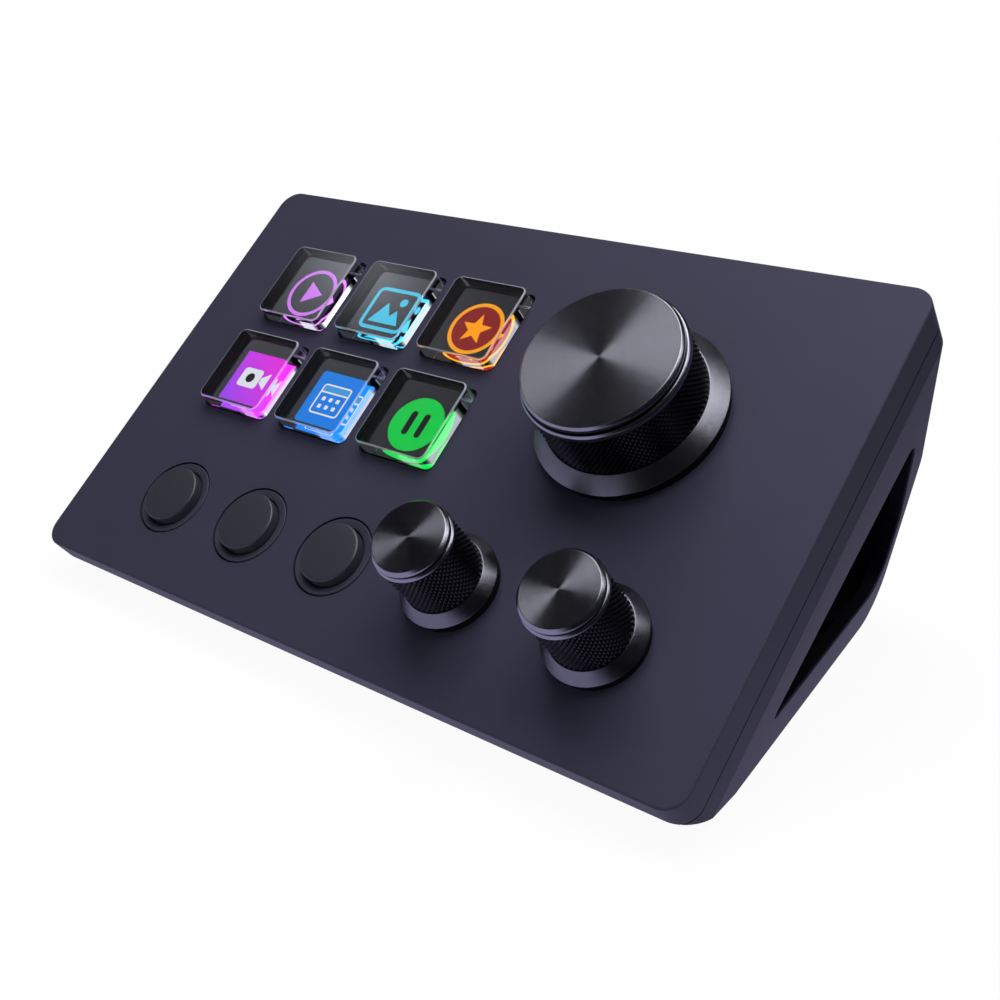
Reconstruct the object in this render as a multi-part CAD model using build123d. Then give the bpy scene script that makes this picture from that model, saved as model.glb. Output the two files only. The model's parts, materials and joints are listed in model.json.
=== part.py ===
from build123d import *
import os
from math import cos, pi, radians, sin, tan

# A tilted desk keypad: six clear keys over one screen, three round buttons and
# three push knobs on a sloping panel, carried by a hollow wedge-shaped stand.
#
# Millimetres and degrees. The object stands on z = 0 with its front towards -y.
# Most pieces are drawn in the panel frame: u runs to the right, v up the slope
# and n out of the panel, all from the centre of the panel's face.

# Panel and its shell
panel_width = 128.0
panel_height = 79.6
panel_tilt = 40.0
corner_radius = 3.5
edge_radius = 0.35
panel_thickness = 2.0
shell_depth = 5.1
shell_wall = 2.0

# Stand
seam = 0.15
band_depth = 3.5
draft = 12.8
stand_wall = 2.3
tongue_wall = 1.2
tongue_height = 1.4
base_drop = 31.45
rear_reach = 45.5
toe_reach = 14.2
toe_lift = 10.0
heel_radius = 7.5

# Side openings of the stand, measured from the panel's centre and the base
opening_front = -6.0
opening_rear_margin = 2.5
opening_floor = 5.7
opening_slope = 33.6
opening_bend_height = 18.3
opening_rear_lean = 22.0
tip_radius = 3.2
toe_radius = 0.8
bend_radius = 6.0

# Bottom cover and feet
cover_thickness = 1.4
cover_lip = 3.0
cover_front = -9.5
cover_rear = 34.0
cover_boss_radius = 3.0
cover_boss_height = 4.5
foot_radius = 5.0
foot_thickness = 1.2
foot_proud = 0.4
foot_inset = 8.0

# Clear keys
column_pitch = 18.65
row_pitch = 18.85
field_v = 9.9
key_top = 14.5
key_base = 15.0
key_corner = 1.3
key_rise = 2.5
key_edge = 0.25
key_travel = 0.4
key_flange = 0.7
flange_thickness = 0.6
window_gap = 0.25
field_skin = 0.8

# Screen stack under the keys
screen_view = 13.4
guide_border = 1.5
membrane_thickness = 0.15
screen_width = 54.0
screen_height = 36.0
screen_thickness = 2.0
screen_rim = 0.5
carrier_rim = 2.15
carrier_floor = 1.2
ear_radius = 2.5
ear_reach = 2.1
ear_spacing = 24.0
ear_thickness = 1.35
ear_boss_radius = 1.7
ear_margin = 3.4

# Round buttons
button_row = -24.7
button_radius = 5.05
button_rise = 1.6
button_edge = 0.35
button_travel = 0.6
button_gap = 0.25
button_flange = 0.55
bezel_radius = 6.55
bezel_groove = 0.3
bezel_depth = 1.2
stem_radius = 1.5
switch_size = 6.0
switch_height = 3.6
switch_well = 2.0

# Knobs
big_knob_margin = 18.9
big_knob_v = 10.5
small_knob_margin = 13.3
small_knob_v = -22.6
small_knob_pitch = 25.0
push_travel = 0.5
skirt_gap = 1.6
skirt_edge = 0.15
groove_height = 0.35
hub_radius = 4.6
knob_wall = 2.0
shaft_radius = 3.0
shaft_flat = 1.5
shaft_top = 11.0
shaft_flat_start = 2.0

# Rotary encoders
encoder_size = 11.7
encoder_height = 5.4
encoder_floor = 0.8
bushing_radius = 3.6
bushing_rise = 0.7
collar_height = 1.0
collar_margin = 0.35
collar_hole = 4.6
collar_spigot = 1.4
plunger_radius = 4.2
plunger_thickness = 1.5
plunger_drop = 0.4
pin_radius = 1.2

# Circuit board, tray and what is on them
board_level = 8.0
board_thickness = 1.6
board_side_margin = 6.0
board_front = -30.5
board_rear_margin = 5.3
board_corner = 2.0
tray_level = 16.0
tray_thickness = 1.5
post_side_margin = 7.0
post_rear_margin = 8.8
post_front = -16.0
post_radius = 2.3
tray_front_margin = 3.0
rail_depth = 2.6
rail_height = 2.0
usb_width = 8.94
usb_height = 3.16
usb_length = 7.3
usb_setback = 0.8
chip_size = 10.0
chip_height = 1.0
flex_width = 18.0
flex_thickness = 0.2
flex_bend = 1.5
connector_depth = 3.5
connector_height = 1.5

# Screws
long_screw_radius = 1.0
long_screw_head = 1.9
long_screw_head_height = 1.4
short_screw_radius = 0.8
short_screw_head = 1.5
short_screw_head_height = 0.9
screw_skin = 1.0

# Clearances
running = 0.05
slip = 0.1
fit = 0.02
flange_clearance = 0.1
apart = 0.3

# Knob sizes that differ between the big and the small ones: the grip's radius,
# the skirt's outer radius, its height, the levels and radii of the cap, and teeth
big_knob = {
    "grip_radius": 12.45, "skirt_radius": 14.8, "skirt_height": 1.9, "grip_height": 8.0,
    "band_height": 1.0, "band_chamfer": 0.35, "cap_radius": 11.95, "cap_height": 0.9,
    "cap_chamfer": 0.35, "spigot_radius": 10.6, "teeth": 72, "tooth_depth": 0.4,
}
small_knob = {
    "grip_radius": 6.15, "skirt_radius": 7.6, "skirt_height": 1.75, "grip_height": 8.85,
    "band_height": 0.55, "band_chamfer": 0.3, "cap_radius": 5.95, "cap_height": 0.8,
    "cap_chamfer": 0.45, "spigot_radius": 5.1, "teeth": 36, "tooth_depth": 0.38,
}

# Worked out from the sizes above. Levels are along n, so what is below the face is negative.
tilt_sin = sin(radians(panel_tilt))
tilt_cos = cos(radians(panel_tilt))
draft_ratio = tan(radians(draft))
panel_back = -panel_thickness
shell_rim = -shell_depth
band_top = shell_rim - seam
band_bottom = band_top - band_depth
ceiling = -field_skin
flange_top = ceiling - flange_clearance
key_bottom = flange_top - flange_thickness
membrane_top = key_bottom - key_travel - slip
screen_top = membrane_top - membrane_thickness
screen_bottom = screen_top - screen_thickness
carrier_bottom = screen_bottom - carrier_floor
board_top = -board_level
board_bottom = board_top - board_thickness
tray_top = -tray_level
tray_bottom = tray_top - tray_thickness
bezel_bottom = -bezel_depth
button_flange_top = bezel_bottom - apart
board_width = panel_width - 2 * board_side_margin
board_rear = panel_height / 2 - board_rear_margin
post_u = panel_width / 2 - post_side_margin
post_rear = panel_height / 2 - post_rear_margin
tray_front = post_front - tray_front_margin
key_flange_size = key_base + 2 * key_flange
flange_window = key_flange_size + 2 * apart
guide_width = 2 * column_pitch + flange_window + 2 * guide_border
guide_height = row_pitch + flange_window + 2 * guide_border
carrier_width = guide_width + 2 * slip + 2 * carrier_rim
carrier_height = guide_height + 2 * slip + 2 * carrier_rim
ear_span = carrier_width / 2 + ear_reach
field_u = shell_wall + ear_margin + ear_radius + ear_span - panel_width / 2
column_us = [field_u + column_pitch * step for step in (-1, 0, 1)]
key_centres = [(u, field_v + side * row_pitch / 2) for side in (1, -1) for u in column_us]
button_centres = [(u, button_row) for u in column_us]
ear_centres = [
    (field_u + side * ear_span, field_v + end * ear_spacing / 2)
    for side in (-1, 1)
    for end in (-1, 1)
]
post_centres = [(side * post_u, v) for side in (-1, 1) for v in (post_front, post_rear)]
big_knob_u = panel_width / 2 - big_knob_margin - big_knob["skirt_radius"]
small_knob_reach = small_knob_margin + small_knob["skirt_radius"] + small_knob_pitch / 2
small_knob_u = panel_width / 2 - small_knob_reach
knob_places = {
    "big": (big_knob_u, big_knob_v, big_knob),
    "left": (small_knob_u - small_knob_pitch / 2, small_knob_v, small_knob),
    "right": (small_knob_u + small_knob_pitch / 2, small_knob_v, small_knob),
}

# The panel's centre stands over the desk so that the feet meet z = 0 and the
# object's box is centred on the origin. The small knobs' caps may reach the
# furthest forward, or else the panel's own front edge does.
panel_rise = base_drop + foot_proud
cap_rim_level = (
    skirt_gap + small_knob["skirt_height"] + small_knob["grip_height"] + small_knob["band_height"]
    + groove_height + small_knob["cap_height"] - small_knob["cap_chamfer"]
)
knob_reach = cap_rim_level * tilt_sin - (small_knob_v - small_knob["cap_radius"]) * tilt_cos
front_reach = max(knob_reach, panel_height / 2 * tilt_cos)
panel_y = (front_reach - rear_reach) / 2
panel_plane = Plane(
    origin=(0, panel_y, panel_rise), x_dir=(1, 0, 0), z_dir=(0, -tilt_sin, tilt_cos)
)


def slab(outline, bottom, top):
    """A flat outline raised between two levels."""
    return extrude(Plane.XY.offset(bottom) * outline, amount=top - bottom)


def rounded(width, height, radius, bottom, top):
    return slab(RectangleRounded(width, height, radius), bottom, top)


def disc(radius, bottom, top):
    return slab(Circle(radius), bottom, top)


def at(centre, shape):
    return Pos(centre[0], centre[1], 0) * shape


def group(shapes):
    """Separate solids that share one node."""
    return Compound(children=[solid for shape in shapes for solid in shape.solids()])


def turned(points):
    """A profile of (radius, level) points turned round the n axis."""
    return revolve(Plane.XZ * make_face(Polyline(*points, close=True)), axis=Axis.Z)


def to_panel(shape):
    """Moves a shape drawn in the desk's frame into the panel's."""
    return panel_plane.location.inverse() * shape


def desk_point(y, z):
    """A point of the side view, measured from the panel's centre."""
    return (y + panel_y, z + panel_rise)


def wall_half_width(y, z, inset):
    """How far the stand's drafted side wall is from the middle at a point of the side view."""
    depth = band_bottom + y * tilt_sin - z * tilt_cos
    return panel_width / 2 - inset - draft_ratio * max(depth, 0)


# Housing


def drafted_block(inset, top):
    """The panel's outline carried down the stand, narrowing with the draft."""
    reach = base_drop + rear_reach
    narrowing = 2 * draft_ratio * reach
    width, height = panel_width - 2 * inset, panel_height - 2 * inset
    upper_radius = corner_radius - inset / 2
    upper = Plane.XY.offset(band_bottom) * RectangleRounded(width, height, upper_radius)
    lower = Plane.XY.offset(band_bottom - reach) * RectangleRounded(
        width - narrowing, height - narrowing, edge_radius
    )
    return loft([upper, lower], ruled=True) + rounded(width, height, upper_radius, band_bottom, top)


def side_profile(inset):
    """The stand's side view: upright rear wall, rounded heel, flat base, lifted toe."""
    toe_tan = tan(radians(toe_lift))
    toe_y = -toe_reach + inset * tan(radians(toe_lift / 2))
    base_z = inset - base_drop
    front_y = -panel_height
    high_z = panel_height
    outline = make_face(
        Polyline(
            desk_point(rear_reach - inset, high_z),
            desk_point(rear_reach - inset, base_z),
            desk_point(toe_y, base_z),
            desk_point(front_y, base_z + (toe_y - front_y) * toe_tan),
            desk_point(front_y, high_z),
            close=True,
        )
    )
    heel = outline.vertices().sort_by(Axis.X)[-2:].sort_by(Axis.Y)[0]
    return fillet(heel, heel_radius - inset)


def side_block(inset, half_width=panel_width):
    return to_panel(extrude(Plane.YZ * side_profile(inset), amount=half_width, both=True))


def side_opening():
    """The rounded triangle that pierces both side walls of the stand."""
    slope = tan(radians(opening_slope))
    lean = tan(radians(opening_rear_lean))
    floor_z = opening_floor - base_drop
    rear_y = rear_reach - opening_rear_margin
    bend_z = opening_bend_height - base_drop
    tip_y = (rear_y + lean * (bend_z - floor_z + slope * opening_front)) / (1 + lean * slope)
    tip_z = floor_z + slope * (tip_y - opening_front)
    outline = FilletPolyline(
        desk_point(opening_front, floor_z),
        desk_point(tip_y, tip_z),
        desk_point(rear_y, bend_z),
        desk_point(rear_y, floor_z),
        radius=(toe_radius, tip_radius, bend_radius, bend_radius),
        close=True,
    )
    return to_panel(extrude(Plane.YZ * make_face(outline), amount=panel_width, both=True))


def long_screw_holes(bottom, top, radius):
    return [at(centre, disc(radius, bottom, top)) for centre in post_centres]


def top_shell():
    """The sloping panel with its side walls, key windows, seats and bosses."""
    shell = rounded(panel_width, panel_height, corner_radius, shell_rim, 0)
    shell = fillet(shell.faces().sort_by(Axis.Z)[-1].edges(), edge_radius)
    shell -= rounded(
        panel_width - 2 * shell_wall, panel_height - 2 * shell_wall, corner_radius - shell_wall / 2,
        shell_rim, panel_back,
    )
    shell += [at(centre, disc(post_radius, board_top, panel_back)) for centre in post_centres]
    shell += [
        at(centre, disc(ear_boss_radius, carrier_bottom + ear_thickness, panel_back))
        for centre in ear_centres
    ]
    shell -= at(
        (field_u, field_v),
        rounded(guide_width + 2 * slip, guide_height + 2 * slip, key_corner, panel_back, ceiling),
    )
    window = key_base + 2 * window_gap
    shell -= [at(c, rounded(window, window, key_corner, panel_back, 0)) for c in key_centres]
    flange_hole = button_radius + button_flange + apart
    shell -= [at(c, disc(flange_hole, panel_back, 0)) for c in button_centres]
    shell -= [at(c, disc(bezel_radius + bezel_groove, bezel_bottom, 0)) for c in button_centres]
    shell -= [at((u, v), disc(collar_hole, panel_back, 0)) for u, v, _ in knob_places.values()]
    shell -= long_screw_holes(board_top, -screw_skin, long_screw_radius + fit)
    ear_boss_end = carrier_bottom + ear_thickness
    shell -= [
        at(centre, disc(short_screw_radius + fit, ear_boss_end, -screw_skin))
        for centre in ear_centres
    ]
    return shell & side_block(0)


def tongue():
    """The raised lip of the stand that the top shell slips over."""
    outset = shell_wall + slip
    inset = outset + tongue_wall
    top = band_top + tongue_height
    ring = rounded(
        panel_width - 2 * outset, panel_height - 2 * outset, corner_radius - outset / 2,
        band_bottom, top,
    )
    ring -= rounded(
        panel_width - 2 * inset, panel_height - 2 * inset, corner_radius - inset / 2,
        band_bottom, top,
    )
    return ring


def rails():
    """Ledges inside the side walls that the tray is pulled up against."""
    front, rear = post_front + 2 * post_radius, post_rear - 2 * post_radius
    length = rear - front
    inner = wall_at(tray_top, stand_wall) - rail_depth
    width = panel_width / 2 - inner
    blank = slab(Rectangle(width, length), tray_top, tray_top + rail_height)
    return [at((side * (inner + width / 2), (front + rear) / 2), blank) for side in (-1, 1)]


def wall_at(level, inset):
    """Half the stand's width at a level under the panel."""
    return panel_width / 2 - inset - draft_ratio * max(band_bottom - level, 0)


def cover_outline(front, rear, inset):
    """The bottom cover's outline, seen from below, following the drafted side walls."""
    base_z = -base_drop
    return make_face(
        Polyline(
            *[
                (side * wall_half_width(y, base_z, inset), y + panel_y)
                for side, y in ((-1, front), (1, front), (1, rear), (-1, rear))
            ],
            close=True,
        )
    )


def base_slab(outline, bottom, top):
    """A horizontal slab, with its levels measured up from the stand's base."""
    floor = panel_rise - base_drop
    return to_panel(extrude(Plane.XY.offset(floor + bottom) * outline, amount=top - bottom))


def cover_boss_places():
    """Where the bottom cover is screwed on: four bosses against the side walls."""
    places = []
    for y in (cover_front + cover_boss_radius, cover_rear - cover_boss_radius):
        half = wall_half_width(y, cover_boss_height - base_drop, stand_wall + cover_boss_radius)
        places += [(side * (half - slip), y + panel_y) for side in (-1, 1)]
    return places


def usb_block(width, height, front, rear):
    """A block on the USB socket's centre line, from one v to another."""
    middle = board_bottom - usb_height / 2
    outline = Plane.XZ * Pos(0, middle) * RectangleRounded(width, height, height / 2 - fit)
    return Pos(0, front, 0) * extrude(outline, amount=-(rear - front))


def rear_face(level):
    """The v of the stand's drafted rear face at a level."""
    return panel_height / 2 - draft_ratio * max(band_bottom - level, 0)


def stand_housing():
    """The hollow wedge: drafted walls, side openings, tongue, rails and cover seat."""
    outer = drafted_block(0, band_top) & side_block(0)
    hollow = drafted_block(stand_wall, band_top) & side_block(stand_wall)
    stand = outer - hollow
    stand += tongue() & side_block(0)
    stand += [rail & drafted_block(stand_wall / 2, band_top) for rail in rails()]
    stand -= side_opening()
    floor_top = stand_wall
    lip = stand_wall + cover_lip
    stand += [
        base_slab(Pos(x, y) * Circle(cover_boss_radius), cover_thickness, cover_boss_height)
        for x, y in cover_boss_places()
    ]
    stand -= base_slab(
        cover_outline(cover_front + cover_lip, cover_rear - cover_lip, lip), 0, floor_top
    ) - union_of(
        [
            base_slab(Pos(x, y) * Circle(cover_boss_radius), cover_thickness, cover_boss_height)
            for x, y in cover_boss_places()
        ]
    )
    stand -= base_slab(cover_outline(cover_front, cover_rear, stand_wall), 0, cover_thickness)
    stand -= union_of(
        [
            base_slab(Pos(x, y) * Circle(short_screw_radius + fit), 0, cover_boss_height - screw_skin)
            for x, y in cover_boss_places()
        ]
    )
    socket_mouth = usb_block(
        usb_width + 2 * apart, usb_height + 2 * apart, board_rear, panel_height / 2 + shell_wall
    )
    return stand - socket_mouth


def union_of(shapes):
    total = shapes[0]
    for shape in shapes[1:]:
        total += shape
    return total


def foot_places():
    """Centres of the rubber feet on the bottom cover."""
    places = []
    for y in (cover_front + foot_inset, cover_rear - foot_inset):
        half = wall_half_width(y, -base_drop, stand_wall) - foot_inset
        places += [(side * half, y + panel_y) for side in (-1, 1)]
    return places


def base_cover():
    """The plate that closes the stand from below, with seats for the feet and its screws."""
    outline = cover_outline(cover_front + slip, cover_rear - slip, stand_wall + slip)
    cover = base_slab(outline, 0, cover_thickness)
    seat = foot_thickness - foot_proud
    for x, y in foot_places():
        cover -= base_slab(Pos(x, y) * Circle(foot_radius + slip), 0, seat)
    for x, y in cover_boss_places():
        cover -= base_slab(Pos(x, y) * Circle(short_screw_radius + slip), 0, cover_thickness)
        cover -= base_slab(
            Pos(x, y) * Circle(short_screw_head + slip), 0, short_screw_head_height
        )
    return cover


def rubber_feet():
    foot = foot_thickness - foot_proud
    return group(
        [base_slab(Pos(x, y) * Circle(foot_radius), -foot_proud, foot) for x, y in foot_places()]
    )


def cover_screws():
    """Short screws, heads flush with the base."""
    screws = []
    for x, y in cover_boss_places():
        head = base_slab(Pos(x, y) * Circle(short_screw_head), 0, short_screw_head_height)
        shank = base_slab(
            Pos(x, y) * Circle(short_screw_radius), 0, cover_boss_height - screw_skin - slip
        )
        screws.append(head + shank)
    return group(screws)


def inner_tray():
    """The floor of the electronics space, with posts that press the board to the bosses."""
    width = 2 * (wall_at(tray_bottom, stand_wall) - apart)
    rear = rear_face(tray_bottom) - stand_wall - apart
    plate = slab(RectangleRounded(width, rear - tray_front, board_corner), tray_bottom, tray_top)
    tray = at((0, (rear + tray_front) / 2), plate)
    tray += [at(centre, disc(post_radius, tray_top, board_bottom)) for centre in post_centres]
    return tray - union_of(long_screw_holes(tray_bottom, board_bottom, long_screw_radius + slip))


def housing_screws():
    """Long screws through tray and board into the top shell's bosses."""
    head = disc(long_screw_head, tray_bottom - long_screw_head_height, tray_bottom)
    shank = disc(long_screw_radius, tray_bottom, panel_back - long_screw_radius)
    return group([at(centre, head + shank) for centre in post_centres])


# Screen and keys


def key_cap(centre):
    """A clear drafted block with a flange that keeps it under the panel."""
    lower = Plane.XY * RectangleRounded(key_base, key_base, key_corner)
    upper = Plane.XY.offset(key_rise) * RectangleRounded(key_top, key_top, key_corner)
    block = loft([lower, upper], ruled=True)
    block = fillet(block.faces().sort_by(Axis.Z)[-1].edges(), key_edge)
    block += rounded(key_base, key_base, key_corner, key_bottom, 0)
    block += rounded(key_flange_size, key_flange_size, key_corner, key_bottom, flange_top)
    return at(centre, block)


def key_guide():
    """The lattice that spaces the keys and keeps each flange square."""
    guide = at(
        (field_u, field_v), rounded(guide_width, guide_height, key_corner, membrane_top, ceiling)
    )
    hole = rounded(flange_window, flange_window, key_corner, membrane_top, ceiling)
    return guide - union_of([at(centre, hole) for centre in key_centres])


def key_membrane():
    """The thin switch sheet over the screen, open over each picture."""
    sheet = at(
        (field_u, field_v), rounded(guide_width, guide_height, key_corner, screen_top, membrane_top)
    )
    view = rounded(screen_view, screen_view, key_corner, screen_top, membrane_top)
    return sheet - union_of([at(centre, view) for centre in key_centres])


def screen_module():
    block = rounded(screen_width, screen_height, screen_rim, screen_bottom, screen_top)
    return at((field_u, field_v), block)


def screen_carrier():
    """The tray that holds the screen and membrane against the panel."""
    carrier = rounded(carrier_width, carrier_height, key_corner, carrier_bottom, panel_back)
    carrier -= rounded(
        guide_width + 2 * slip, guide_height + 2 * slip, key_corner, screen_top, panel_back
    )
    carrier -= rounded(
        screen_width + 2 * slip, screen_height + 2 * slip, screen_rim, screen_bottom, panel_back
    )
    slot_length = carrier_height / 2
    slot = slab(
        Rectangle(flex_width + 2 * slip, slot_length), screen_bottom, screen_bottom + 2 * flex_thickness
    )
    carrier -= at((0, -(screen_height + slot_length) / 2), slot)
    carrier = at((field_u, field_v), carrier)
    for u, v in ear_centres:
        side = 1 if u > field_u else -1
        ear = SlotCenterToCenter(2 * ear_reach, 2 * ear_radius)
        ear = at((u - side * ear_reach, v), slab(ear, carrier_bottom, carrier_bottom + ear_thickness))
        carrier += ear - at(
            (field_u, field_v),
            rounded(
                carrier_width - 2 * carrier_rim, carrier_height, key_corner,
                carrier_bottom, panel_back,
            ),
        )
    holes = [
        at(centre, disc(short_screw_radius + slip, carrier_bottom, panel_back))
        for centre in ear_centres
    ]
    return carrier - union_of(holes)


def carrier_screws():
    head = disc(short_screw_head, carrier_bottom - short_screw_head_height, carrier_bottom)
    shank = disc(short_screw_radius, carrier_bottom, -screw_skin - slip)
    return group([at(centre, head + shank) for centre in ear_centres])


def screen_flex():
    """The flat cable from the screen down to its connector on the board."""
    level = screen_bottom + flex_thickness
    start = field_v - screen_height / 2
    drop = start - carrier_rim - guide_border - 2 * flex_bend
    end = board_top + connector_height
    path = FilletPolyline(
        (field_u, start, level), (field_u, drop, level), (field_u, drop, end), radius=flex_bend
    )
    section = Plane(origin=path @ 0, x_dir=(1, 0, 0), z_dir=path % 0)
    return sweep(section * Rectangle(flex_width, flex_thickness), path)


def flex_connector():
    drop = field_v - screen_height / 2 - carrier_rim - guide_border - 2 * flex_bend
    body = slab(
        Rectangle(flex_width + connector_depth, connector_depth), board_top,
        board_top + connector_height,
    )
    return at((field_u, drop), body)


# Buttons


def button_cap(centre):
    """A flat cap with a retaining flange and a stem that reaches into its switch."""
    cap = disc(button_radius, button_flange_top, button_rise)
    cap = fillet(cap.faces().sort_by(Axis.Z)[-1].edges(), button_edge)
    flange_bottom = button_flange_top - panel_thickness / 2
    cap += disc(button_radius + button_flange, flange_bottom, button_flange_top)
    stem_end = board_top + switch_height - apart
    cap += disc(stem_radius, stem_end, flange_bottom)
    return at(centre, cap)


def button_bezels():
    """Flush rings that sit on the ledges of the button holes."""
    bore = button_radius + button_gap
    ring = disc(bezel_radius, bezel_bottom, 0) - disc(bore, bezel_bottom, 0)
    ring = chamfer(ring.faces().sort_by(Axis.Z)[-1].edges().sort_by(SortBy.RADIUS)[-1], slip)
    return group([at(centre, ring) for centre in button_centres])


def button_switches():
    """Switch bodies on the board, each with a well for the button's stem."""
    top = board_top + switch_height
    body = slab(Rectangle(switch_size, switch_size), board_top, top)
    body -= disc(stem_radius + apart, top - switch_well, top)
    return group([at(centre, body) for centre in button_centres])


# Knobs and encoders


def d_outline(radius, flat):
    """A round section with one flat side."""
    return Circle(radius) - Pos(flat + radius, 0) * Rectangle(2 * radius, 2 * radius)


def knurl_outline(radius, depth, teeth):
    """A ring of pointed teeth, by formula."""
    points = []
    for step in range(2 * teeth):
        reach = radius - depth * (step % 2)
        angle = pi * step / teeth
        points.append((reach * cos(angle), reach * sin(angle)))
    return make_face(Polyline(*points, close=True))


def knob_levels(size):
    """The levels of one knob, from the skirt's foot to the top of the cap."""
    skirt_top = skirt_gap + size["skirt_height"]
    grip_top = skirt_top + size["grip_height"]
    band_top_level = grip_top + size["band_height"]
    cap_bottom = band_top_level + groove_height
    return skirt_top, grip_top, band_top_level, cap_bottom, cap_bottom + size["cap_height"]


def knob_grip(size):
    """The knurled body with its bright band, hub, bore and seats for cap and skirt."""
    skirt_top, grip_top, band_level, _, _ = knob_levels(size)
    radius = size["grip_radius"]
    spigot = size["spigot_radius"]
    bevel = size["band_chamfer"]
    grip = slab(knurl_outline(radius, size["tooth_depth"], size["teeth"]), skirt_top, grip_top)
    grip += turned(
        [(0, grip_top), (radius, grip_top), (radius, band_level - bevel),
         (radius - bevel, band_level), (0, band_level)]
    )
    grip += disc(spigot, skirt_gap, skirt_top)
    cap_seat = band_level - size["cap_height"]
    grip -= disc(spigot - knob_wall / 2 + fit, cap_seat, band_level)
    if spigot - knob_wall > hub_radius + apart:
        hollow = disc(spigot - knob_wall, skirt_gap, cap_seat - knob_wall)
        grip -= hollow - disc(hub_radius, skirt_gap, cap_seat - knob_wall)
    bore = slab(d_outline(shaft_radius + fit, shaft_flat + fit), shaft_flat_start, shaft_top + fit)
    return grip - bore - disc(shaft_radius + fit, skirt_gap, shaft_flat_start)


def knob_cap(size):
    """The spun disc on top, chamfered, with a spigot down into the grip."""
    _, _, band_level, cap_bottom, cap_top = knob_levels(size)
    radius = size["cap_radius"]
    bevel = size["cap_chamfer"]
    spigot = size["spigot_radius"] - knob_wall / 2
    seat = band_level - size["cap_height"]
    return turned(
        [(0, seat), (spigot, seat), (spigot, cap_bottom), (radius, cap_bottom),
         (radius, cap_top - bevel), (radius - bevel, cap_top), (0, cap_top)]
    )


def knob_skirt(size):
    """The flared ring at the foot of the knob."""
    skirt_top = knob_levels(size)[0]
    bore = size["spigot_radius"]
    outer = size["skirt_radius"]
    return turned(
        [(bore, skirt_gap), (outer, skirt_gap), (outer, skirt_gap + skirt_edge),
         (size["grip_radius"], skirt_top), (bore, skirt_top)]
    )


def encoder_levels():
    """Levels of an encoder: its lid, the plunger's top and foot, and the well's floor."""
    lid = board_top + encoder_height
    well_floor = board_top + encoder_floor
    plunger_top = well_floor + apart + push_travel + plunger_thickness
    return lid, plunger_top, plunger_top - plunger_thickness, well_floor


def encoder_shaft():
    """A shaft with a flat for the knob and a pin that turns in the plunger."""
    _, plunger_top, plunger_foot, _ = encoder_levels()
    shoulder = plunger_top + plunger_drop
    shaft = disc(shaft_radius, shoulder, shaft_flat_start)
    shaft += slab(d_outline(shaft_radius, shaft_flat), shaft_flat_start, shaft_top)
    return shaft + disc(pin_radius, plunger_foot, shoulder)


def encoder_plunger():
    """The push piece: it slides in the encoder's well and carries the shaft's pin."""
    _, top, foot, _ = encoder_levels()
    return disc(plunger_radius, foot, top) - disc(pin_radius + running, foot, top)


def encoder_body():
    """The housing on the board, with its bushing, bore and plunger well."""
    lid, plunger_top, _, well_floor = encoder_levels()
    body = rounded(encoder_size, encoder_size, screen_rim, board_top, lid)
    body += disc(bushing_radius, lid, bushing_rise)
    well_top = plunger_top + plunger_drop + apart
    body -= disc(plunger_radius + slip, well_floor, well_top)
    return body - disc(shaft_radius + running, well_top, bushing_rise)


def knob_collar(size):
    """The black ring under a knob that lines its hole in the panel."""
    outer = size["skirt_radius"] - collar_margin
    bore = bushing_radius + slip
    hole = collar_hole - slip
    return turned(
        [(bore, -collar_spigot), (hole, -collar_spigot), (hole, 0), (outer, 0),
         (outer, collar_height), (bore, collar_height)]
    )


# Board


def main_board():
    """The circuit board that carries the encoders, switches, socket and chip."""
    length = board_rear - board_front
    board = at(
        (0, (board_rear + board_front) / 2),
        rounded(board_width, length, board_corner, board_bottom, board_top),
    )
    return board - union_of(long_screw_holes(board_bottom, board_top, long_screw_radius + slip))


def usb_socket():
    """The cable socket under the board's rear edge, its mouth just inside the stand."""
    middle = board_bottom - usb_height / 2
    mouth = rear_face(middle) - usb_setback
    shell = usb_block(usb_width, usb_height, mouth - usb_length, mouth)
    wall = apart
    cavity = usb_block(
        usb_width - 2 * wall, usb_height - 2 * wall, mouth - usb_length + 2 * wall, mouth
    )
    return shell - cavity


def controller_chip():
    return rounded(chip_size, chip_size, edge_radius, board_bottom - chip_height, board_bottom)


# All the nodes

nodes = {
    "top_shell": top_shell(),
    "stand_housing": stand_housing(),
    "base_cover": base_cover(),
    "rubber_feet": rubber_feet(),
    "cover_screws": cover_screws(),
    "inner_tray": inner_tray(),
    "housing_screws": housing_screws(),
    "main_board": main_board(),
    "controller_chip": controller_chip(),
    "usb_socket": usb_socket(),
    "screen_module": screen_module(),
    "screen_carrier": screen_carrier(),
    "carrier_screws": carrier_screws(),
    "screen_flex": screen_flex(),
    "flex_connector": flex_connector(),
    "key_guide": key_guide(),
    "key_membrane": key_membrane(),
    "button_bezels": button_bezels(),
    "button_switches": button_switches(),
    "encoder_bodies": group([at((u, v), encoder_body()) for u, v, _ in knob_places.values()]),
    "knob_collars": group([at((u, v), knob_collar(s)) for u, v, s in knob_places.values()]),
}
for number, centre in enumerate(key_centres, start=1):
    nodes[f"key_cap_{number}"] = key_cap(centre)
for number, centre in enumerate(button_centres, start=1):
    nodes[f"button_cap_{number}"] = button_cap(centre)
for name, (u, v, size) in knob_places.items():
    nodes[f"{name}_encoder_plunger"] = at((u, v), encoder_plunger())
    nodes[f"{name}_encoder_shaft"] = at((u, v), encoder_shaft())
    nodes[f"{name}_knob_grip"] = at((u, v), knob_grip(size))
    nodes[f"{name}_knob_cap"] = at((u, v), knob_cap(size))
    nodes[f"{name}_knob_skirt"] = at((u, v), knob_skirt(size))

os.makedirs("parts", exist_ok=True)
for name, shape in nodes.items():
    export_step(panel_plane.location * shape, f"parts/{name}.step")
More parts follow.
